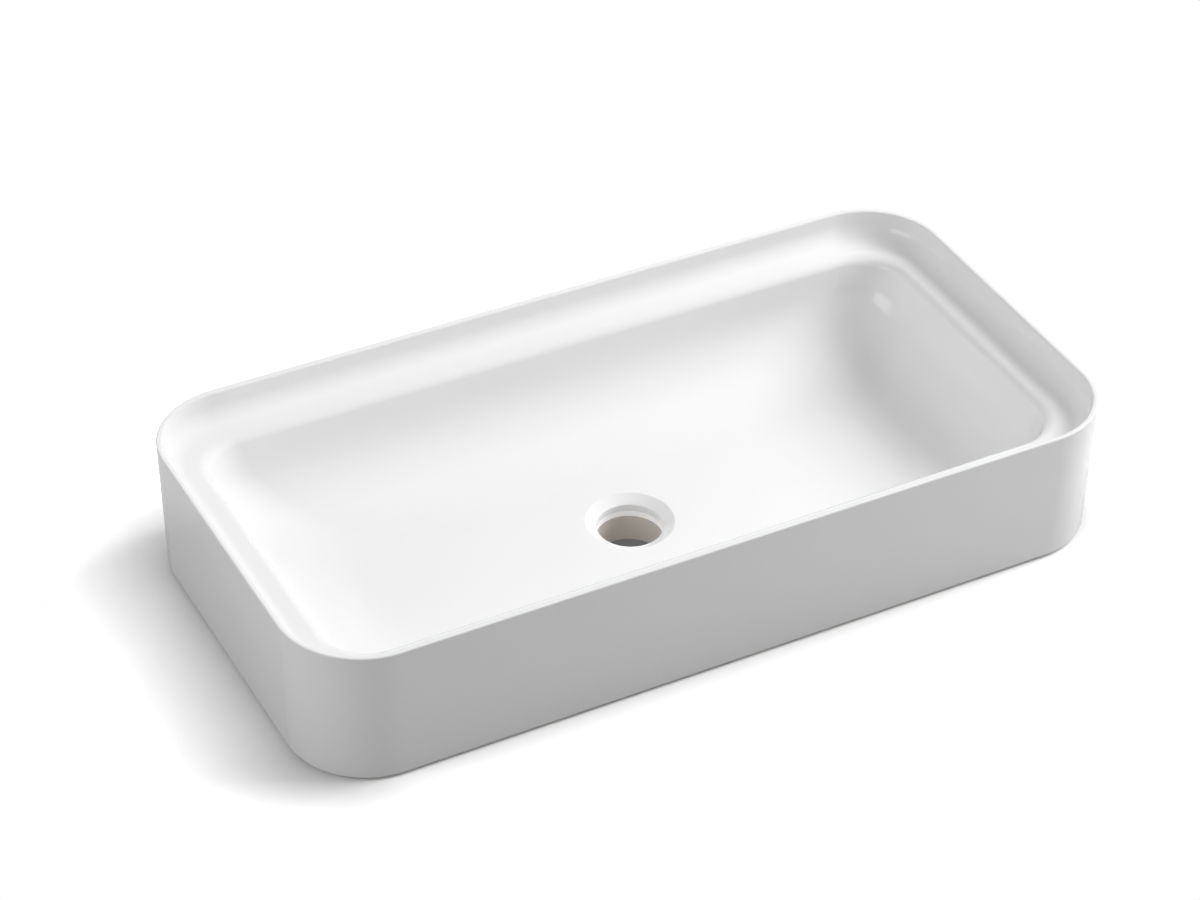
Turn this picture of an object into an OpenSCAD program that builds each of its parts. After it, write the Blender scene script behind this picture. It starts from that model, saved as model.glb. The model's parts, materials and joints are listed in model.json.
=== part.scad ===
// Countertop washbasin: a deep rounded rectangular vessel of white glazed ceramic.
// Its cast members are separate solids that meet face to face.
// Millimetres, +Z up, +X along the length, origin at the middle of the foot, on the counter.

/* [Overall] */
// Length over the rim
basin_length = 600; // [480:1:900]
// Width over the rim
basin_width = 304; // [260:1:460]
// Height from the counter to the top of the rim
basin_height = 102; // [98:1:150]
// Radius of the four outer corners in plan
corner_radius = 58; // [50:1:80]
// Inward lean of each end wall from rim to foot
end_draft = 2.6; // [0:0.1:6]
// Inward lean of each long wall from rim to foot
side_draft = 0.2; // [0:0.1:6]

/* [Rim and ledge] */
// Thickness of the rim across its top, before its edges are rounded
rim_thickness = 4; // [3.8:0.1:6]
// Fall of the rim's top towards the inside, in degrees
rim_top_slope = 10; // [2:1:14]
// Radius that rounds the rim's outer edge
rim_outer_radius = 1; // [0.8:0.1:1.6]
// Radius that rounds the rim's inner edge
rim_inner_radius = 1.8; // [1:0.1:2]
// Slope of the inner face below the rim, from level, in degrees
inner_face_slope = 80; // [70:1:88]
// Radius of the hollow between the inner face and the ledge
ledge_cove_radius = 14; // [6:0.5:16]
// Distance of the bowl's upper edge from the outside of the rim
bowl_edge_inset = 31.5; // [31:0.5:42]
// Drop from the top of the rim to the bowl's upper edge
bowl_edge_drop = 21.5; // [19:0.5:28]
// Fall of the ledge towards the bowl, in degrees
ledge_slope = 5; // [2:1:8]
// Level of the ledge's underside, below the top of the rim
ledge_underside_drop = 30; // [29:0.5:36]
// Distance of the seam between ledge and bowl from the outside of the rim
ledge_seam_inset = 25; // [24.5:0.5:25.5]

/* [Bowl] */
// Thickness of the bowl's wall
wall_thickness = 9; // [7:0.5:10]
// Thickness of the floor at the drain
floor_thickness = 6.5; // [5.5:0.5:7.5]
// Height of the floor above the counter, where the dish has levelled out
floor_height = 11.5; // [11:0.5:20]
// Fall of the last of the floor to the drain
floor_fall = 0.5; // [0.3:0.1:1]
// Radius that rounds the bowl's upper edge
bowl_edge_radius = 7; // [3:0.5:7]
// Slope of the bowl's walls, from level, in degrees
wall_slope = 82; // [78:1:84]
// Share of the bowl's depth that is the radius of the hollow under the wall
cove_share = 0.74; // [0.6:0.01:0.78]
// Slope at which the hollow passes into the dish of the floor, in degrees
cove_end_slope = 26; // [18:1:28]
// Radius of the dish of the floor
dish_radius = 115; // [90:1:120]
// Slope at which the dish has levelled out, in degrees
dish_end_slope = 6; // [4:1:8]
// Radius of the floor's corners in plan
floor_corner_radius = 45; // [40:1:48]

/* [Drain] */
// Radius of the round seat that is let into the floor
seat_radius = 45; // [42:0.5:50]
// Radius of the recess at its mouth
recess_radius = 31; // [28:0.5:34]
// Depth of the sloping recess
recess_depth = 4.5; // [3:0.5:6]
// Radius of the glazed throat, which takes a standard basin waste
throat_radius = 23; // [22:0.1:25]
// Outer radius of the neck round the throat, below the floor
neck_radius = 29; // [28:0.5:31]
// Outer radius of the unglazed boss round the neck
boss_radius = 38; // [34:0.5:40]
// Gap between the counter and the ends of neck and boss
boss_gap = 1; // [0.5:0.1:2]

/* [Skirt and foot] */
// Thickness of the outer skirt
skirt_wall = 8; // [7:0.5:9]
// Gap between the counter and the glazed lower edge of the skirt
skirt_gap = 2; // [1:0.1:3]
// Rounding of the skirt's lower edge
skirt_edge_round = 1.5; // [0.5:0.1:2]
// Thickness of the skirt's lip outside the foot
skirt_lip = 3; // [2.5:0.1:4]
// Distance of the foot ring's inner face from the outside of the rim
foot_inner_inset = 19; // [17:0.5:24]
// Thickness of the panel that closes the hollow between skirt and bowl
panel_thickness = 8; // [6:0.5:9]
// Radius of the two vent holes in the panel
vent_radius = 4; // [3:0.5:6]
// Distance of the vent holes from the outside of the rim
vent_inset = 38; // [30:0.5:48]
// Distance of the props' outer faces from the outside of the rim
prop_outer_inset = 13; // [12.5:0.5:14]
// Distance of the props' inner faces from the outside of the rim
prop_inner_inset = 22; // [20:0.5:22]
// Width of each prop along its wall
prop_width = 16; // [10:1:24]
// Distance of the outer props from the middle of the long walls
prop_reach = 150; // [100:1:180]

/* [Hidden] */

GLAZE = [0.96, 0.96, 0.95];
BISCUIT = [0.78, 0.72, 0.66];

// Facets round each quarter corner and along each arc of the section
corner_steps = 12;
rim_steps = 4;
cove_steps = 6;
edge_steps = 4;
bowl_cove_steps = 8;
back_steps = 5;
dish_steps = 4;
floor_steps = 3;
$fn = 96;

// Overrun of every cut, and the rounded square that the floor is drawn to before it is cut
overrun = 1;
land_half = seat_radius + overrun;
land_corner_radius = land_half - overrun;
land_inner_half = seat_radius - 3 * overrun;
land_inner_corner_radius = land_inner_half - overrun;

// Levels, measured up from the counter
bowl_edge_z = basin_height - bowl_edge_drop;
ledge_underside_z = basin_height - ledge_underside_drop;
drain_z = floor_height - floor_fall;
floor_underside_z = drain_z - floor_thickness;
foot_height = floor_underside_z + panel_thickness;
throat_top_z = drain_z - recess_depth;

// Lean of the outer faces at a level. A station is [half length, half width, corner, level]
function lean(draft, z) = draft * (1 - z / basin_height);
function station(inset, z, radius) =
    [basin_length / 2 - inset, basin_width / 2 - inset, radius, z];
function concentric(inset, z) = station(inset, z, corner_radius - inset);
function leaning(inset, z) =
    [basin_length / 2 - inset - lean(end_draft, z),
     basin_width / 2 - inset - lean(side_draft, z),
     corner_radius - inset - (lean(end_draft, z) + lean(side_draft, z)) / 2, z];

// The rounded rectangle of a station, in plan
function plan_points(s) = [
    for (quarter = [0:3])
        for (step = [0:corner_steps])
            let (angle = 90 * (quarter + step / corner_steps),
                 sign_x = (quarter == 0 || quarter == 3) ? 1 : -1,
                 sign_y = quarter < 2 ? 1 : -1)
            [sign_x * (s[0] - s[2]) + s[2] * cos(angle),
             sign_y * (s[1] - s[2]) + s[2] * sin(angle)]
];

// A closed ring whose section runs through the given stations, outer face first and upwards
module ring(stations) {
    loop_count = 4 * (corner_steps + 1);
    station_count = len(stations);
    polyhedron(
        points = [for (s = stations) for (p = plan_points(s)) [p[0], p[1], s[3]]],
        faces = [
            for (i = [0:station_count - 1])
                for (j = [0:loop_count - 1])
                    let (a = i * loop_count + j,
                         b = i * loop_count + (j + 1) % loop_count,
                         c = ((i + 1) % station_count) * loop_count + (j + 1) % loop_count,
                         d = ((i + 1) % station_count) * loop_count + j)
                    each [[a, c, b], [a, d, c]]
        ],
        convexity = 8);
}

// Section of the inside: the rim's inner edge, the inner face, the hollow and the ledge
function ledge_z(inset) = bowl_edge_z + (bowl_edge_inset - inset) * tan(ledge_slope);
rim_corner_z = basin_height - (rim_thickness - rim_outer_radius) * tan(rim_top_slope);
rim_inner_tangent = rim_inner_radius * tan((inner_face_slope - rim_top_slope) / 2);
function rim_inner_edge(share) =
    let (slope = rim_top_slope + (inner_face_slope - rim_top_slope) * share)
    [rim_thickness - rim_inner_tangent * cos(rim_top_slope)
     + rim_inner_radius * (sin(slope) - sin(rim_top_slope)),
     rim_corner_z + rim_inner_tangent * sin(rim_top_slope)
     + rim_inner_radius * (cos(slope) - cos(rim_top_slope))];
face_meets_ledge_inset =
    (rim_corner_z - bowl_edge_z - bowl_edge_inset * tan(ledge_slope)
     + rim_thickness * tan(inner_face_slope)) / (tan(inner_face_slope) - tan(ledge_slope));
ledge_cove_tangent = ledge_cove_radius * tan((inner_face_slope - ledge_slope) / 2);
ledge_cove_start =
    [face_meets_ledge_inset - ledge_cove_tangent * cos(inner_face_slope),
     ledge_z(face_meets_ledge_inset) + ledge_cove_tangent * sin(inner_face_slope)];
function ledge_cove(share) =
    let (slope = inner_face_slope + (ledge_slope - inner_face_slope) * share)
    ledge_cove_start
    + ledge_cove_radius * [sin(inner_face_slope) - sin(slope),
                           cos(inner_face_slope) - cos(slope)];

// Section of the bowl as [inset, level]: its rounded upper edge, the hollow under the wall,
// on the face or at a depth behind it, the dish of the floor, and the last fall to the drain
edge_tangent = bowl_edge_radius * tan((wall_slope - ledge_slope) / 2);
bowl_depth = bowl_edge_z - floor_height;
cove_radius = cove_share * bowl_depth;
cove_run = cove_radius * (sin(wall_slope) - sin(cove_end_slope));
cove_drop = cove_radius * (cos(cove_end_slope) - cos(wall_slope));
dish_run = dish_radius * (sin(cove_end_slope) - sin(dish_end_slope));
dish_drop = dish_radius * (cos(dish_end_slope) - cos(cove_end_slope));
wall_drop = bowl_depth - cove_drop - dish_drop;
cove_top_inset = bowl_edge_inset + wall_drop / tan(wall_slope);
dish_end_inset = cove_top_inset + cove_run + dish_run;
function bowl_edge(share) =
    let (slope = ledge_slope + (wall_slope - ledge_slope) * share)
    [bowl_edge_inset - edge_tangent * cos(ledge_slope)
     + bowl_edge_radius * (sin(slope) - sin(ledge_slope)),
     bowl_edge_z + edge_tangent * sin(ledge_slope)
     + bowl_edge_radius * (cos(slope) - cos(ledge_slope))];
function bowl_cove(slope, depth) =
    [cove_top_inset + cove_radius * sin(wall_slope) - (cove_radius + depth) * sin(slope),
     bowl_edge_z - wall_drop + cove_radius * cos(wall_slope)
     - (cove_radius + depth) * cos(slope)];
function floor_dish(slope) =
    [dish_end_inset + dish_radius * (sin(dish_end_slope) - sin(slope)),
     floor_height + dish_radius * (cos(dish_end_slope) - cos(slope))];
wall_back_start = bowl_cove(wall_slope, wall_thickness);
wall_back_inset =
    wall_back_start[0] - (ledge_underside_z - wall_back_start[1]) / tan(wall_slope);

// Stations of the bowl, whose plan corners open out from the ledge to the floor, and of the
// heel and the floor's outer edge, which go straight down to the underside
seam_corner_radius = corner_radius - ledge_seam_inset;
function bowl_station(point) =
    let (share = min(max((bowl_edge_z - point[1]) / bowl_depth, 0), 1))
    station(point[0], point[1],
            seam_corner_radius + (floor_corner_radius - seam_corner_radius) * share);
function at_underside(s) = [s[0], s[1], s[2], floor_underside_z];
heel = bowl_station(bowl_cove(cove_end_slope, wall_thickness));
floor_outer = bowl_station(bowl_cove(cove_end_slope, 0));
dish_end = bowl_station(floor_dish(dish_end_slope));
land = [land_half, land_half, land_corner_radius, drain_z];
function floor_station(share) =
    let (s = dish_end + (land - dish_end) * share)
    [s[0], s[1], s[2], drain_z + floor_fall * pow(1 - share, 2)];

module rim_and_ledge() {
    color(GLAZE)
        ring(concat(
            [leaning(0, ledge_underside_z)],
            [for (step = [0:rim_steps])
                let (angle = 90 * step / rim_steps)
                leaning(rim_outer_radius * (1 - cos(angle)),
                        basin_height - rim_outer_radius * (1 - sin(angle)))],
            [for (step = [0:rim_steps])
                let (point = rim_inner_edge(step / rim_steps))
                concentric(point[0], point[1])],
            [for (step = [0:cove_steps])
                let (point = ledge_cove(step / cove_steps))
                concentric(point[0], point[1])],
            [concentric(ledge_seam_inset, ledge_z(ledge_seam_inset)),
             concentric(ledge_seam_inset, ledge_underside_z)]));
}

module bowl_wall() {
    color(GLAZE)
        ring(concat(
            [concentric(ledge_seam_inset, ledge_underside_z),
             concentric(ledge_seam_inset, ledge_z(ledge_seam_inset))],
            [for (step = [0:edge_steps])
                bowl_station(bowl_edge(step / edge_steps))],
            [bowl_station(bowl_cove(wall_slope, 0)),
             bowl_station(bowl_cove(wall_slope, wall_thickness)),
             station(wall_back_inset, ledge_underside_z, seam_corner_radius)]));
}

module bowl_cove_ring() {
    color(GLAZE)
        ring(concat(
            [at_underside(heel)],
            [for (step = [0:back_steps])
                let (slope = cove_end_slope + (wall_slope - cove_end_slope) * step / back_steps)
                bowl_station(bowl_cove(slope, wall_thickness))],
            [for (step = [bowl_cove_steps:-1:0])
                let (slope = cove_end_slope
                             + (wall_slope - cove_end_slope) * step / bowl_cove_steps)
                bowl_station(bowl_cove(slope, 0))],
            [at_underside(floor_outer)]));
}

module bowl_floor() {
    color(GLAZE)
        difference() {
            ring(concat(
                [at_underside(floor_outer)],
                [for (step = [dish_steps:-1:0])
                    let (slope = dish_end_slope
                                 + (cove_end_slope - dish_end_slope) * step / dish_steps)
                    bowl_station(floor_dish(slope))],
                [for (step = [1:floor_steps]) floor_station(step / floor_steps)],
                [[land_inner_half, land_inner_half, land_inner_corner_radius, drain_z],
                 [land_inner_half, land_inner_half, land_inner_corner_radius,
                  floor_underside_z]]));
            translate([0, 0, floor_underside_z - overrun])
                cylinder(r = seat_radius, h = floor_thickness + 2 * overrun);
        }
}

module drain_seat() {
    color(GLAZE)
        rotate_extrude()
            polygon([
                [throat_radius, boss_gap],
                [neck_radius, boss_gap],
                [neck_radius, floor_underside_z],
                [seat_radius, floor_underside_z],
                [seat_radius, drain_z],
                [recess_radius, drain_z],
                [throat_radius, throat_top_z]]);
}

module drain_boss() {
    color(BISCUIT)
        translate([0, 0, boss_gap])
            difference() {
                cylinder(r = boss_radius, h = floor_underside_z - boss_gap);
                translate([0, 0, -overrun])
                    cylinder(r = neck_radius, h = floor_underside_z - boss_gap + 2 * overrun);
            }
}

module outer_skirt() {
    lip = leaning(skirt_lip, foot_height);
    color(GLAZE)
        ring([
            leaning(skirt_edge_round, skirt_gap),
            leaning(0, skirt_gap + skirt_edge_round),
            leaning(0, ledge_underside_z),
            leaning(skirt_wall, ledge_underside_z),
            leaning(skirt_wall, foot_height),
            lip,
            [lip[0], lip[1], lip[2], skirt_gap]]);
}

module foot_ring() {
    color(BISCUIT)
        linear_extrude(height = foot_height)
            difference() {
                polygon(plan_points(leaning(skirt_lip, foot_height)));
                polygon(plan_points(concentric(foot_inner_inset, foot_height)));
            }
}

module underside_panel() {
    color(BISCUIT)
        translate([0, 0, floor_underside_z])
            difference() {
                linear_extrude(height = panel_thickness)
                    difference() {
                        polygon(plan_points(concentric(foot_inner_inset, foot_height)));
                        polygon(plan_points(heel));
                    }
                for (side = [-1, 1])
                    translate([side * (basin_length / 2 - vent_inset), 0, -overrun])
                        cylinder(r = vent_radius, h = panel_thickness + 2 * overrun);
            }
}

module ledge_props() {
    prop_depth = prop_inner_inset - prop_outer_inset;
    prop_middle_inset = (prop_inner_inset + prop_outer_inset) / 2;
    prop_height = ledge_underside_z - foot_height;
    color(BISCUIT)
        translate([0, 0, foot_height + prop_height / 2]) {
            for (side = [-1, 1], reach = [-prop_reach, 0, prop_reach])
                translate([reach, side * (basin_width / 2 - prop_middle_inset), 0])
                    cube([prop_width, prop_depth, prop_height], center = true);
            for (side = [-1, 1])
                translate([side * (basin_length / 2 - prop_middle_inset), 0, 0])
                    cube([prop_depth, prop_width, prop_height], center = true);
        }
}

rim_and_ledge();
bowl_wall();
bowl_cove_ring();
bowl_floor();
drain_seat();
drain_boss();
outer_skirt();
foot_ring();
underside_panel();
ledge_props();
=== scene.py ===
"""Countertop washbasin: the glazed casting, its unglazed foot, a pale studio and the camera."""
import json
import math

import bmesh
import bpy
from mathutils import Matrix, Vector

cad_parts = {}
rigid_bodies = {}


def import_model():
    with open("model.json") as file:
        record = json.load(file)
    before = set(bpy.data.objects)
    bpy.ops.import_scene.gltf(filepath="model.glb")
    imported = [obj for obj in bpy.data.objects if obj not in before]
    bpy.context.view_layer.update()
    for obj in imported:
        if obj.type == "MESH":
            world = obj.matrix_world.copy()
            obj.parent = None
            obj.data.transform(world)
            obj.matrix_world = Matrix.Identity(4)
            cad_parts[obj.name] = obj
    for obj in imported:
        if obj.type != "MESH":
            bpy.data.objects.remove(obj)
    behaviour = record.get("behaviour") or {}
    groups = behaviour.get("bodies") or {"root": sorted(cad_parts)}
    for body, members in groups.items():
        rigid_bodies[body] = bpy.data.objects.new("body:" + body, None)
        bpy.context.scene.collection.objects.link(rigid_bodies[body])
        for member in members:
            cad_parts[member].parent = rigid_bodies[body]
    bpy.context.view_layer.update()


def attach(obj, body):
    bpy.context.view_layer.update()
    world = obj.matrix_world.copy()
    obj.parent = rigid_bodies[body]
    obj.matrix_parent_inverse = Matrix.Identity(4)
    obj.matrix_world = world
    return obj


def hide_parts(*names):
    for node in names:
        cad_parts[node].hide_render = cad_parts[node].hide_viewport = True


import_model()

MM = 0.001

# Outline of the casting, in millimetres
LENGTH = 600.0
WIDTH = 304.0
HEIGHT = 102.0
CORNER = 58.0
END_DRAFT = 2.6
SIDE_DRAFT = 0.2

# Rim, upper inner face, hollow and ledge
RIM_THICKNESS = 4.0
RIM_TOP_SLOPE = 10.0
RIM_OUTER_ROUND = 1.0
RIM_INNER_ROUND = 1.8
INNER_FACE_SLOPE = 80.0
LEDGE_COVE = 14.0
BOWL_EDGE_INSET = 31.5
BOWL_EDGE_DROP = 21.5
LEDGE_SLOPE = 5.0
LEDGE_UNDERSIDE_DROP = 30.0
LEDGE_SEAM_INSET = 25.0

# Bowl and floor
WALL = 9.0
FLOOR_THICKNESS = 6.5
FLOOR_Z = 11.5
FLOOR_FALL = 0.5
BOWL_EDGE_ROUND = 7.0
WALL_SLOPE = 82.0
COVE_SHARE = 0.74
COVE_END_SLOPE = 26.0
DISH_RADIUS = 115.0
DISH_END_SLOPE = 6.0
FLOOR_CORNER = 45.0

# Drain
SEAT_RADIUS = 45.0
RECESS_RADIUS = 31.0
RECESS_DEPTH = 4.5
THROAT_RADIUS = 23.0
NECK_RADIUS = 29.0
BOSS_GAP = 1.0

# Skirt and foot
SKIRT_WALL = 8.0
SKIRT_GAP = 2.0
SKIRT_EDGE_ROUND = 1.5
SKIRT_LIP = 3.0
PANEL_THICKNESS = 8.0

# Levels above the counter
BOWL_EDGE_Z = HEIGHT - BOWL_EDGE_DROP
LEDGE_UNDERSIDE_Z = HEIGHT - LEDGE_UNDERSIDE_DROP
DRAIN_Z = FLOOR_Z - FLOOR_FALL
FLOOR_UNDERSIDE_Z = DRAIN_Z - FLOOR_THICKNESS
FOOT_HEIGHT = FLOOR_UNDERSIDE_Z + PANEL_THICKNESS
THROAT_TOP_Z = DRAIN_Z - RECESS_DEPTH

# Fineness of the curves, and the angle from which an edge stays crisp
CORNER_STEPS = 32
OUTER_EDGE_STEPS = 10
RIM_EDGE_STEPS = 12
LEDGE_COVE_STEPS = 18
BOWL_EDGE_STEPS = 12
WALL_STEPS = 4
HEEL_STEPS = 8
BOWL_COVE_STEPS = 24
DISH_STEPS = 12
FLOOR_STEPS = 10
GLAZE_EDGE_STEPS = 8
SKIRT_EDGE_STEPS = 6
SHARP_FROM = 35.0

# Softening of the drain's edges by the glaze: recess mouth, throat and lower end
MOUTH_ROUND = 1.2
THROAT_ROUND = 1.0
END_ROUND = 0.6


def tan(degrees):
    return math.tan(math.radians(degrees))


def sin(degrees):
    return math.sin(math.radians(degrees))


def cos(degrees):
    return math.cos(math.radians(degrees))


def shares(count):
    return [step / count for step in range(count + 1)]


# A station is half length, half width, corner radius and level
def station(inset, z, corner):
    return (LENGTH / 2 - inset, WIDTH / 2 - inset, corner, z)


def concentric(inset, z):
    return station(inset, z, CORNER - inset)


def leaning(inset, z):
    share = 1 - z / HEIGHT
    return (
        LENGTH / 2 - inset - END_DRAFT * share,
        WIDTH / 2 - inset - SIDE_DRAFT * share,
        CORNER - inset - (END_DRAFT + SIDE_DRAFT) / 2 * share,
        z,
    )


def round_station(radius, z):
    return (radius, radius, radius, z)


def between(a, b, share):
    return tuple(p + (q - p) * share for p, q in zip(a, b))


def loop_places(s):
    places = []
    for quarter in range(4):
        sign_x = 1 if quarter in (0, 3) else -1
        sign_y = 1 if quarter < 2 else -1
        for step in range(CORNER_STEPS):
            angle = 90 * (quarter + (step + 0.5) / CORNER_STEPS)
            x = sign_x * (s[0] - s[2]) + s[2] * cos(angle)
            y = sign_y * (s[1] - s[2]) + s[2] * sin(angle)
            places.append(Vector((x, y, s[3])) * MM)
    return places


def grow(stations):
    """The first loop is drawn and each next one is extruded from the last."""
    bm = bmesh.new()
    drawn = [bm.verts.new(place) for place in loop_places(stations[0])]
    first = [bm.edges.new(pair) for pair in zip(drawn, drawn[1:] + drawn[:1])]
    last = first
    for s in stations[1:]:
        made = bmesh.ops.extrude_edge_only(bm, edges=last)["geom"]
        verts = [item for item in made if isinstance(item, bmesh.types.BMVert)]
        new = set(verts)
        last = [
            item for item in made
            if isinstance(item, bmesh.types.BMEdge) and new.issuperset(item.verts)
        ]
        for vert, place in zip(verts, loop_places(s)):
            vert.co = place
    return bm, first, last


def placed(name, bm):
    """An object of the finished mesh, smooth but for its crisp edges."""
    for face in bm.faces:
        face.smooth = True
    limit = math.radians(SHARP_FROM)
    for edge in bm.edges:
        if len(edge.link_faces) == 2 and edge.calc_face_angle(0) > limit:
            edge.smooth = False
    mesh = bpy.data.meshes.new(name)
    bm.to_mesh(mesh)
    bm.free()
    made = bpy.data.objects.new(name, mesh)
    bpy.context.scene.collection.objects.link(made)
    return made


def ring(name, node, stations):
    """A closed glazed ring that takes the place of a node."""
    bm, first, last = grow(stations)
    bmesh.ops.bridge_loops(bm, edges=first + last)
    bmesh.ops.recalc_face_normals(bm, faces=bm.faces)
    piece = placed(name, bm)
    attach(piece, "root")
    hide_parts(node)
    return piece


# Section below the rim: inner face, hollow and ledge
def ledge_z(inset):
    return BOWL_EDGE_Z + (BOWL_EDGE_INSET - inset) * tan(LEDGE_SLOPE)


RIM_CORNER_Z = HEIGHT - (RIM_THICKNESS - RIM_OUTER_ROUND) * tan(RIM_TOP_SLOPE)
RIM_INNER_TANGENT = RIM_INNER_ROUND * tan((INNER_FACE_SLOPE - RIM_TOP_SLOPE) / 2)
FACE_MEETS_LEDGE = (
    RIM_CORNER_Z - BOWL_EDGE_Z - BOWL_EDGE_INSET * tan(LEDGE_SLOPE)
    + RIM_THICKNESS * tan(INNER_FACE_SLOPE)
) / (tan(INNER_FACE_SLOPE) - tan(LEDGE_SLOPE))
LEDGE_TANGENT = LEDGE_COVE * tan((INNER_FACE_SLOPE - LEDGE_SLOPE) / 2)
LEDGE_COVE_START = (
    FACE_MEETS_LEDGE - LEDGE_TANGENT * cos(INNER_FACE_SLOPE),
    ledge_z(FACE_MEETS_LEDGE) + LEDGE_TANGENT * sin(INNER_FACE_SLOPE),
)


def rim_inner_edge(share):
    slope = RIM_TOP_SLOPE + (INNER_FACE_SLOPE - RIM_TOP_SLOPE) * share
    return (
        RIM_THICKNESS - RIM_INNER_TANGENT * cos(RIM_TOP_SLOPE)
        + RIM_INNER_ROUND * (sin(slope) - sin(RIM_TOP_SLOPE)),
        RIM_CORNER_Z + RIM_INNER_TANGENT * sin(RIM_TOP_SLOPE)
        + RIM_INNER_ROUND * (cos(slope) - cos(RIM_TOP_SLOPE)),
    )


def ledge_cove(share):
    slope = INNER_FACE_SLOPE + (LEDGE_SLOPE - INNER_FACE_SLOPE) * share
    return (
        LEDGE_COVE_START[0] + LEDGE_COVE * (sin(INNER_FACE_SLOPE) - sin(slope)),
        LEDGE_COVE_START[1] + LEDGE_COVE * (cos(INNER_FACE_SLOPE) - cos(slope)),
    )


# Section of the bowl: rounded upper edge, the hollow under the wall, and the dish of the floor
EDGE_TANGENT = BOWL_EDGE_ROUND * tan((WALL_SLOPE - LEDGE_SLOPE) / 2)
SEAM_CORNER = CORNER - LEDGE_SEAM_INSET
BOWL_DEPTH = BOWL_EDGE_Z - FLOOR_Z
COVE_RADIUS = COVE_SHARE * BOWL_DEPTH
COVE_RUN = COVE_RADIUS * (sin(WALL_SLOPE) - sin(COVE_END_SLOPE))
COVE_FALL = COVE_RADIUS * (cos(COVE_END_SLOPE) - cos(WALL_SLOPE))
DISH_RUN = DISH_RADIUS * (sin(COVE_END_SLOPE) - sin(DISH_END_SLOPE))
DISH_FALL = DISH_RADIUS * (cos(DISH_END_SLOPE) - cos(COVE_END_SLOPE))
WALL_FALL = BOWL_DEPTH - COVE_FALL - DISH_FALL
COVE_TOP_INSET = BOWL_EDGE_INSET + WALL_FALL / tan(WALL_SLOPE)
FLOOR_INSET = COVE_TOP_INSET + COVE_RUN + DISH_RUN


def bowl_edge(share):
    slope = LEDGE_SLOPE + (WALL_SLOPE - LEDGE_SLOPE) * share
    return (
        BOWL_EDGE_INSET - EDGE_TANGENT * cos(LEDGE_SLOPE)
        + BOWL_EDGE_ROUND * (sin(slope) - sin(LEDGE_SLOPE)),
        BOWL_EDGE_Z + EDGE_TANGENT * sin(LEDGE_SLOPE)
        + BOWL_EDGE_ROUND * (cos(slope) - cos(LEDGE_SLOPE)),
    )


def bowl_cove(slope, depth=0.0):
    middle = (
        COVE_TOP_INSET + COVE_RADIUS * sin(WALL_SLOPE),
        BOWL_EDGE_Z - WALL_FALL + COVE_RADIUS * cos(WALL_SLOPE),
    )
    return (
        middle[0] - (COVE_RADIUS + depth) * sin(slope),
        middle[1] - (COVE_RADIUS + depth) * cos(slope),
    )


def floor_dish(slope):
    return (
        FLOOR_INSET + DISH_RADIUS * (sin(DISH_END_SLOPE) - sin(slope)),
        FLOOR_Z + DISH_RADIUS * (cos(DISH_END_SLOPE) - cos(slope)),
    )


def bowl_station(point):
    share = min(max((BOWL_EDGE_Z - point[1]) / BOWL_DEPTH, 0.0), 1.0)
    return station(point[0], point[1], SEAM_CORNER + (FLOOR_CORNER - SEAM_CORNER) * share)


BACK_START = bowl_cove(WALL_SLOPE, WALL)
BACK_INSET = BACK_START[0] - (LEDGE_UNDERSIDE_Z - BACK_START[1]) / tan(WALL_SLOPE)

# Rim and ledge, from the seam with the skirt over the rim and in to the seam with the bowl
rim_stations = [leaning(0, LEDGE_UNDERSIDE_Z)]
for share in shares(OUTER_EDGE_STEPS):
    inset = RIM_OUTER_ROUND * (1 - cos(90 * share))
    rim_stations.append(leaning(inset, HEIGHT - RIM_OUTER_ROUND * (1 - sin(90 * share))))
rim_stations += [concentric(*rim_inner_edge(share)) for share in shares(RIM_EDGE_STEPS)]
rim_stations += [concentric(*ledge_cove(share)) for share in shares(LEDGE_COVE_STEPS)]
rim_stations += [
    concentric(LEDGE_SEAM_INSET, ledge_z(LEDGE_SEAM_INSET)),
    concentric(LEDGE_SEAM_INSET, LEDGE_UNDERSIDE_Z),
]
rim = ring("glazed_rim_and_ledge", "rim_and_ledge", rim_stations)

# Bowl wall, from the ledge over the edge and down
wall_stations = [
    concentric(LEDGE_SEAM_INSET, LEDGE_UNDERSIDE_Z),
    concentric(LEDGE_SEAM_INSET, ledge_z(LEDGE_SEAM_INSET)),
]
wall_stations += [bowl_station(bowl_edge(share)) for share in shares(BOWL_EDGE_STEPS)]
wall_top = bowl_edge(1)
wall_foot = bowl_cove(WALL_SLOPE)
wall_stations += [
    bowl_station(between(wall_top, wall_foot, share)) for share in shares(WALL_STEPS)[1:]
]
wall_stations += [
    bowl_station(bowl_cove(WALL_SLOPE, WALL)),
    station(BACK_INSET, LEDGE_UNDERSIDE_Z, SEAM_CORNER),
]
wall = ring("glazed_bowl_wall", "bowl_wall", wall_stations)

# The wide hollow from the wall towards the floor, with the heel under it
heel = bowl_station(bowl_cove(COVE_END_SLOPE, WALL))
floor_outer = bowl_station(bowl_cove(COVE_END_SLOPE))
cove_stations = [heel[:3] + (FLOOR_UNDERSIDE_Z,)]
cove_stations += [
    bowl_station(bowl_cove(COVE_END_SLOPE + (WALL_SLOPE - COVE_END_SLOPE) * share, WALL))
    for share in shares(HEEL_STEPS)
]
cove_stations += [
    bowl_station(bowl_cove(WALL_SLOPE + (COVE_END_SLOPE - WALL_SLOPE) * share))
    for share in shares(BOWL_COVE_STEPS)
]
floor_below = floor_outer[:3] + (FLOOR_UNDERSIDE_Z,)
cove_stations.append(floor_below)
cove = ring("glazed_bowl_cove", "bowl_cove_ring", cove_stations)

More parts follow.
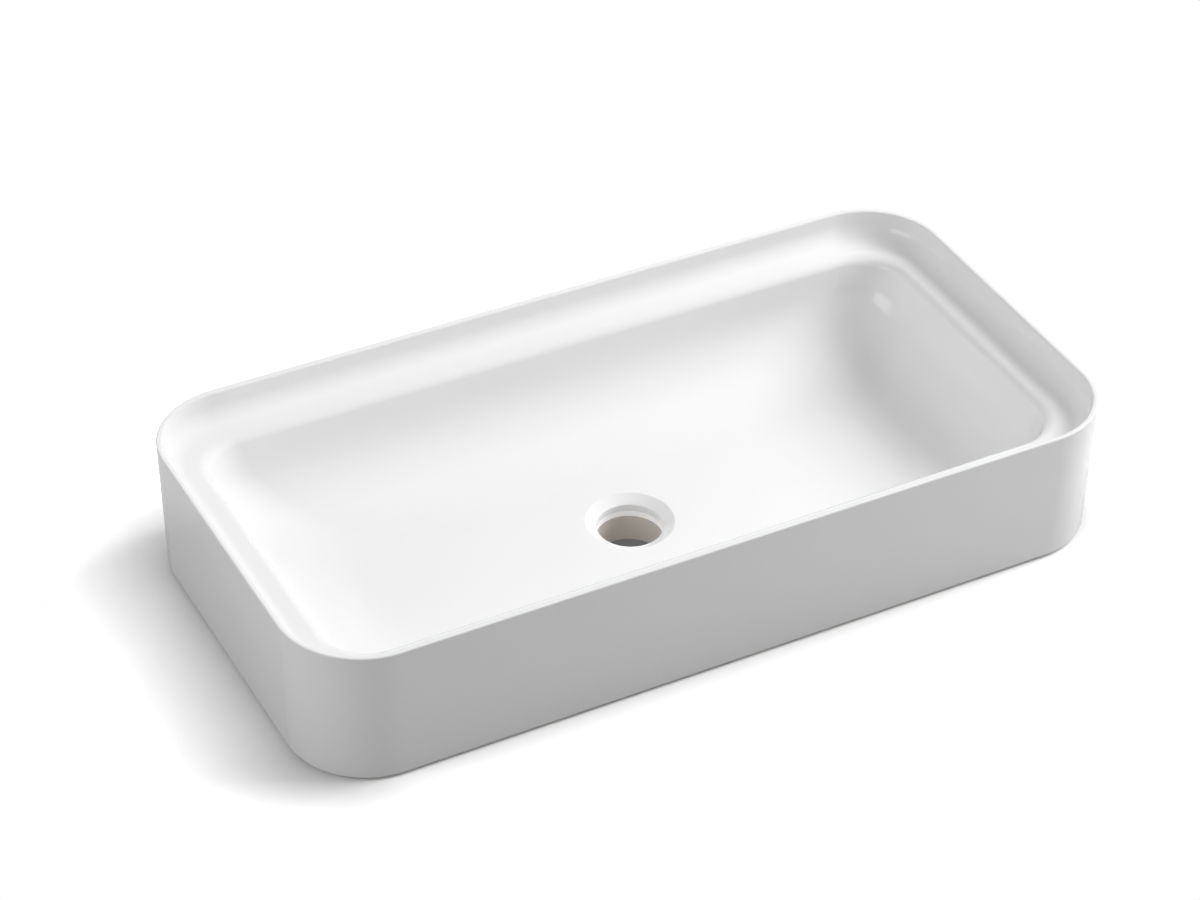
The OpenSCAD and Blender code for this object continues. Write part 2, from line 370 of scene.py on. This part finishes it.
# Floor: a flat dish that falls to the seat of the drain
seat = round_station(SEAT_RADIUS, DRAIN_Z)
floor_stations = [floor_below]
floor_stations += [
    bowl_station(floor_dish(COVE_END_SLOPE + (DISH_END_SLOPE - COVE_END_SLOPE) * share))
    for share in shares(DISH_STEPS)
]
floor_edge = floor_stations[-1]
for share in shares(FLOOR_STEPS)[1:]:
    level = DRAIN_Z + FLOOR_FALL * (1 - share) ** 2
    floor_stations.append(between(floor_edge, seat, share)[:3] + (level,))
floor_stations.append(round_station(SEAT_RADIUS, FLOOR_UNDERSIDE_Z))
bowl_floor = ring("glazed_bowl_floor", "bowl_floor", floor_stations)

# Drain seat: the recess, the throat and the neck
def rounded(points, roundings):
    """Points of a section, with an arc of the given radius at each point that has one."""
    made = []
    for i, (point, radius) in enumerate(zip(points, roundings)):
        here = Vector(point)
        if not radius:
            made.append(tuple(here))
            continue
        to_last = (Vector(points[i - 1]) - here).normalized()
        to_next = (Vector(points[(i + 1) % len(points)]) - here).normalized()
        half = to_last.angle(to_next) / 2
        centre = here + (to_last + to_next).normalized() * (radius / math.sin(half))
        a = here + to_last * (radius / math.tan(half)) - centre
        b = here + to_next * (radius / math.tan(half)) - centre
        turn = a.angle_signed(b)
        for share in shares(GLAZE_EDGE_STEPS):
            made.append(tuple(centre + Matrix.Rotation(-turn * share, 2) @ a))
    return made


seat_section = rounded(
    [
        (THROAT_RADIUS, BOSS_GAP),
        (NECK_RADIUS, BOSS_GAP),
        (NECK_RADIUS, FLOOR_UNDERSIDE_Z),
        (SEAT_RADIUS, FLOOR_UNDERSIDE_Z),
        (SEAT_RADIUS, DRAIN_Z),
        (RECESS_RADIUS, DRAIN_Z),
        (THROAT_RADIUS, THROAT_TOP_Z),
    ],
    [END_ROUND, 0, 0, 0, 0, MOUTH_ROUND, THROAT_ROUND],
)
seat_stations = [round_station(*point) for point in seat_section]
drain_seat = ring("glazed_drain_seat", "drain_seat", seat_stations)

# Outer skirt, with a rebate for the foot
lip = leaning(SKIRT_LIP, FOOT_HEIGHT)
skirt_stations = []
for share in shares(SKIRT_EDGE_STEPS):
    inset = SKIRT_EDGE_ROUND * (1 - sin(90 * share))
    level = SKIRT_GAP + SKIRT_EDGE_ROUND * (1 - cos(90 * share))
    skirt_stations.append(leaning(inset, level))
skirt_stations += [
    leaning(0, LEDGE_UNDERSIDE_Z),
    leaning(SKIRT_WALL, LEDGE_UNDERSIDE_Z),
    leaning(SKIRT_WALL, FOOT_HEIGHT),
    lip,
    lip[:3] + (SKIRT_GAP,),
]
skirt = ring("glazed_outer_skirt", "outer_skirt", skirt_stations)


# Glaze and clay: colour, fineness of the spots, roughness from and to, and the layers of
# waves and grain as scale, height in metres and detail
GLAZE_COLOUR = (0.85, 0.85, 0.854)
GLAZE_SPOTS = 14.0
GLAZE_ROUGHNESS = (0.03, 0.06)
GLAZE_WAVES = [(9.0, 0.00035, 1.0), (60.0, 0.00002, 2.0)]
CLAY_COLOUR = (0.62, 0.55, 0.47)
CLAY_SPOTS = 300.0
CLAY_ROUGHNESS = (0.75, 0.95)
CLAY_GRAIN = [(900.0, 0.00006, 4.0)]
SPOT_DETAIL = 3.0


def plain_material(name, colour, roughness):
    material = bpy.data.materials.new(name)
    material.use_nodes = True
    shader = material.node_tree.nodes["Principled BSDF"]
    shader.inputs["Base Color"].default_value = (*colour, 1)
    shader.inputs["Roughness"].default_value = roughness
    return material, shader


def noise(nodes, links, scale, detail):
    """Noise over the object's own space."""
    place = nodes.new("ShaderNodeTexCoord")
    made = nodes.new("ShaderNodeTexNoise")
    made.inputs["Scale"].default_value = scale
    made.inputs["Detail"].default_value = detail
    links.new(place.outputs["Object"], made.inputs["Vector"])
    return made.outputs["Fac"]


def ceramic(name, colour, spots, roughness, layers):
    """Roughness that changes in spots, over waves and grain of the surface."""
    material, shader = plain_material(name, colour, roughness[0])
    nodes, links = material.node_tree.nodes, material.node_tree.links
    spread = nodes.new("ShaderNodeMapRange")
    spread.inputs["To Min"].default_value = roughness[0]
    spread.inputs["To Max"].default_value = roughness[1]
    links.new(noise(nodes, links, spots, SPOT_DETAIL), spread.inputs["Value"])
    links.new(spread.outputs["Result"], shader.inputs["Roughness"])
    last = None
    for scale, height, detail in layers:
        bump = nodes.new("ShaderNodeBump")
        bump.inputs["Distance"].default_value = height
        bump.inputs["Strength"].default_value = 1.0
        links.new(noise(nodes, links, scale, detail), bump.inputs["Height"])
        if last:
            links.new(last.outputs["Normal"], bump.inputs["Normal"])
        last = bump
    links.new(last.outputs["Normal"], shader.inputs["Normal"])
    return material


glaze = ceramic("white_glaze", GLAZE_COLOUR, GLAZE_SPOTS, GLAZE_ROUGHNESS, GLAZE_WAVES)
clay = ceramic("unglazed_clay", CLAY_COLOUR, CLAY_SPOTS, CLAY_ROUGHNESS, CLAY_GRAIN)

for piece in (rim, wall, cove, bowl_floor, drain_seat, skirt):
    piece.data.materials.append(glaze)
for node in ("drain_boss", "foot_ring", "underside_panel", "ledge_props"):
    for part in bpy.data.objects:
        if part.name.split(".")[0] == node and part.type == "MESH":
            part.data.materials.clear()
            part.data.materials.append(clay)

# Studio: a white floor with an opening under the drain, as in a worktop, with the board's
# pale face, its brown cut edge and the shade below it. The face, the edge and the shade glow
# though no lamp is there: painted light that lifts the drain's throat and the bottom of the
# opening.
OPENING_RADIUS = THROAT_RADIUS + 0.3
BOARD_FACE = 3.5
BOARD_THICKNESS = 24.0
FLOOR_REACH = 6000.0
PAPER_COLOUR = (0.5, 0.5, 0.5)
FACE_COLOUR = (0.85, 0.85, 0.85)
BOARD_COLOUR = (0.46, 0.42, 0.38)
SHADE_COLOUR = (0.1, 0.1, 0.1)
FACE_PAINTED_GLOW = 0.16
BOARD_PAINTED_GLOW = 0.17
SHADE_PAINTED_GLOW = 0.08

# The floor as seen paints the basin's shadow on top of the lamps' own: its paleness beside the
# basin (above one, painted light), off the basin's ends (below one, painted shade that deepens
# the shadow there) and further out (above one, painted light that fades the shadow to white),
# where that change begins and ends from the foot, where the floor turns plain white, and how much
# of all this mirrored rays see
LIGHT_PAINTED_BESIDE = 1.12
SHADE_PAINTED_OFF_ENDS = 0.77
LIGHT_PAINTED_FAR = 1.8
FADE_FROM = 3.0
FADE_TO = 68.0
BLANK_FROM = 60.0
BLANK_TO = 160.0
FLOOR_MIRRORED = 0.3
WHITE_MIRRORED = 1.0


def maths(tree, kind, operation, value=None):
    node = tree.nodes.new(kind)
    node.operation = operation
    if value is not None:
        node.inputs[1].default_value = value
    return node


def seen_rays(tree, mirrored):
    """One for rays that see the studio straight, and the given share for mirrored ones."""
    path = tree.nodes.new("ShaderNodeLightPath")
    indirect = maths(tree, "ShaderNodeMath", "MAXIMUM")
    seen = maths(tree, "ShaderNodeMath", "MULTIPLY_ADD", mirrored)
    tree.links.new(path.outputs["Is Glossy Ray"], indirect.inputs[0])
    tree.links.new(path.outputs["Is Transmission Ray"], indirect.inputs[1])
    tree.links.new(indirect.outputs[0], seen.inputs[0])
    tree.links.new(path.outputs["Is Camera Ray"], seen.inputs[2])
    return seen.outputs[0]


def painted_shadow_floor(tree):
    """Painted shadow and light: pale by the distance to the foot's outline and by how far a place
    lies off the end.
    """
    half_x, half_y, corner = leaning(0, 0)[:3]
    inner = Vector((half_x - corner, half_y - corner, 0)) * MM
    place = tree.nodes.new("ShaderNodeTexCoord")
    unsigned = maths(tree, "ShaderNodeVectorMath", "ABSOLUTE")
    core = maths(tree, "ShaderNodeVectorMath", "SUBTRACT", inner)
    beyond = maths(tree, "ShaderNodeVectorMath", "MAXIMUM", (0, 0, 0))
    reach = maths(tree, "ShaderNodeVectorMath", "LENGTH")
    parts = tree.nodes.new("ShaderNodeSeparateXYZ")
    off_end = maths(tree, "ShaderNodeMath", "DIVIDE")
    near = tree.nodes.new("ShaderNodeMapRange")
    near.inputs["To Min"].default_value = LIGHT_PAINTED_BESIDE
    near.inputs["To Max"].default_value = SHADE_PAINTED_OFF_ENDS
    fade = tree.nodes.new("ShaderNodeMapRange")
    fade.inputs["From Min"].default_value = (corner + FADE_FROM) * MM
    fade.inputs["From Max"].default_value = (corner + FADE_TO) * MM
    fade.inputs["To Max"].default_value = LIGHT_PAINTED_FAR
    away = tree.nodes.new("ShaderNodeMapRange")
    away.inputs["From Min"].default_value = (corner + BLANK_FROM) * MM
    away.inputs["From Max"].default_value = (corner + BLANK_TO) * MM
    lit = tree.nodes.new("ShaderNodeBsdfDiffuse")
    blank = tree.nodes.new("ShaderNodeEmission")
    shown = tree.nodes.new("ShaderNodeMixShader")
    tree.links.new(place.outputs["Object"], unsigned.inputs[0])
    tree.links.new(unsigned.outputs["Vector"], core.inputs[0])
    tree.links.new(core.outputs["Vector"], beyond.inputs[0])
    tree.links.new(beyond.outputs["Vector"], reach.inputs[0])
    tree.links.new(beyond.outputs["Vector"], parts.inputs["Vector"])
    tree.links.new(parts.outputs["X"], off_end.inputs[0])
    tree.links.new(reach.outputs["Value"], off_end.inputs[1])
    tree.links.new(off_end.outputs["Value"], near.inputs["Value"])
    tree.links.new(reach.outputs["Value"], fade.inputs["Value"])
    tree.links.new(near.outputs["Result"], fade.inputs["To Min"])
    tree.links.new(fade.outputs["Result"], lit.inputs["Color"])
    tree.links.new(reach.outputs["Value"], away.inputs["Value"])
    tree.links.new(away.outputs["Result"], shown.inputs["Fac"])
    tree.links.new(lit.outputs["BSDF"], shown.inputs[1])
    tree.links.new(blank.outputs["Emission"], shown.inputs[2])
    return shown.outputs["Shader"]


def choose_seen(tree, mirrored, unseen, seen, output):
    choose = tree.nodes.new("ShaderNodeMixShader")
    tree.links.new(seen_rays(tree, mirrored), choose.inputs["Fac"])
    tree.links.new(unseen, choose.inputs[1])
    tree.links.new(seen, choose.inputs[2])
    tree.links.new(choose.outputs["Shader"], output)


# A material that glows though it is no lamp: painted light.
def painted_glow_material(name, colour, roughness, glow_colour, glow):
    material, shader = plain_material(name, colour, roughness)
    shader.inputs["Emission Color"].default_value = (*glow_colour, 1)
    shader.inputs["Emission Strength"].default_value = glow
    return material


def staged(name, stations, material, mirrored=True, filled=False):
    bm, first, last = grow(stations)
    if filled:
        bmesh.ops.contextual_create(bm, geom=last)
    made = placed(name, bm)
    made.data.materials.append(material)
    made.visible_glossy = mirrored


paper, paper_shader = plain_material("studio_paper", PAPER_COLOUR, 1.0)
paper_shader.inputs["Specular IOR Level"].default_value = 0.0
paper_tree = paper.node_tree
paper_output = paper_tree.nodes["Material Output"].inputs["Surface"]
choose_seen(
    paper_tree, FLOOR_MIRRORED, paper_shader.outputs["BSDF"], painted_shadow_floor(paper_tree), paper_output
)

floor_rim = round_station(FLOOR_REACH, 0)
opening = round_station(OPENING_RADIUS, 0)
opening_top = round_station(OPENING_RADIUS, BOSS_GAP)
face_foot = round_station(OPENING_RADIUS, -BOARD_FACE)
opening_foot = round_station(OPENING_RADIUS, -BOARD_THICKNESS)
WHITE = (1, 1, 1)
board_face = painted_glow_material("board_face", FACE_COLOUR, 0.3, WHITE, FACE_PAINTED_GLOW)
board_edge = painted_glow_material("board_edge", BOARD_COLOUR, 0.6, BOARD_COLOUR, BOARD_PAINTED_GLOW)
shade = painted_glow_material("shade_under_board", SHADE_COLOUR, 1.0, WHITE, SHADE_PAINTED_GLOW)
staged("studio_floor", [floor_rim, opening], paper)
staged("board_face", [opening_top, face_foot], board_face)
staged("board_edge", [face_foot, opening_foot], board_edge, mirrored=False)
staged("shade_under_board", [opening_foot], shade, mirrored=False, filled=True)

# The white world is only seen: the lamps light the basin, apart from the painted glow of the
# board in the opening under the drain
world = bpy.data.worlds.new("studio")
bpy.context.scene.world = world
world.use_nodes = True
world_tree = world.node_tree
unlit = world_tree.nodes["Background"]
unlit.inputs["Strength"].default_value = 0.0
white = world_tree.nodes.new("ShaderNodeBackground")
white.inputs["Color"].default_value = (*WHITE, 1)
white.inputs["Strength"].default_value = 1.0
world_output = world_tree.nodes["World Output"].inputs["Surface"]
choose_seen(
    world_tree, WHITE_MIRRORED, unlit.outputs["Background"], white.outputs["Background"],
    world_output,
)


def lamp(name, place, size, watts, mirrored=False):
    """A softbox turned to the basin. The ones that only fill aren't mirrored in the glaze."""
    data = bpy.data.lights.new(name, "AREA")
    data.shape = "RECTANGLE"
    data.size, data.size_y = size
    data.energy = watts
    made = bpy.data.objects.new(name, data)
    made.location = place
    made.visible_glossy = mirrored
    made.rotation_mode = "QUATERNION"
    made.rotation_quaternion = (STAND - Vector(place)).to_track_quat("-Z", "Y")
    bpy.context.scene.collection.objects.link(made)


STAND = Vector((0.0, 0.0, 0.05))
KEY_PLACE = (2.3, 0.2, 1.75)
lamp("key_softbox", KEY_PLACE, (1.2, 1.2), 33.5)
lamp("key_mirror", KEY_PLACE, (0.7, 0.7), 10, mirrored=True)
lamp("second_key", (2.15, -0.85, 1.75), (1.2, 1.2), 41)
lamp("overhead", (0.0, 0.3, 2.6), (2.6, 2.6), 11.5)
lamp("left_low", (-2.4, -0.35, 0.8), (1.6, 1.2), 14, mirrored=True)
lamp("left_high", (-1.8, -0.4, 1.9), (1.6, 1.6), 16)
lamp("front_right", (1.35, -1.35, 0.45), (0.8, 0.8), 5)
lamp("back", (0.0, 2.4, 1.5), (2.0, 1.2), 14.5)

# Camera, solved from the rim, foot and bowl outlines in the photograph
AZIMUTH = -28.26
ELEVATION = 37.42
ROLL = 0.98
DISTANCE = 2.4013
LENS = 105.09
TARGET = Vector((-0.0058, 0.03433, 0.0503))

back = Vector(
    (sin(AZIMUTH) * cos(ELEVATION), -cos(AZIMUTH) * cos(ELEVATION), sin(ELEVATION))
)
right = Vector((cos(AZIMUTH), sin(AZIMUTH), 0))
up = back.cross(right)
camera_x = right * cos(ROLL) + up * sin(ROLL)
camera_y = up * cos(ROLL) - right * sin(ROLL)
camera_data = bpy.data.cameras.new("camera")
camera_data.sensor_width = 36.0
camera_data.lens = LENS
camera = bpy.data.objects.new("camera", camera_data)
axes = Matrix((camera_x, camera_y, back)).transposed().to_4x4()
camera.matrix_world = Matrix.Translation(TARGET + back * DISTANCE) @ axes
bpy.context.scene.collection.objects.link(camera)
bpy.context.scene.camera = camera

bpy.context.scene.view_settings.view_transform = "Standard"
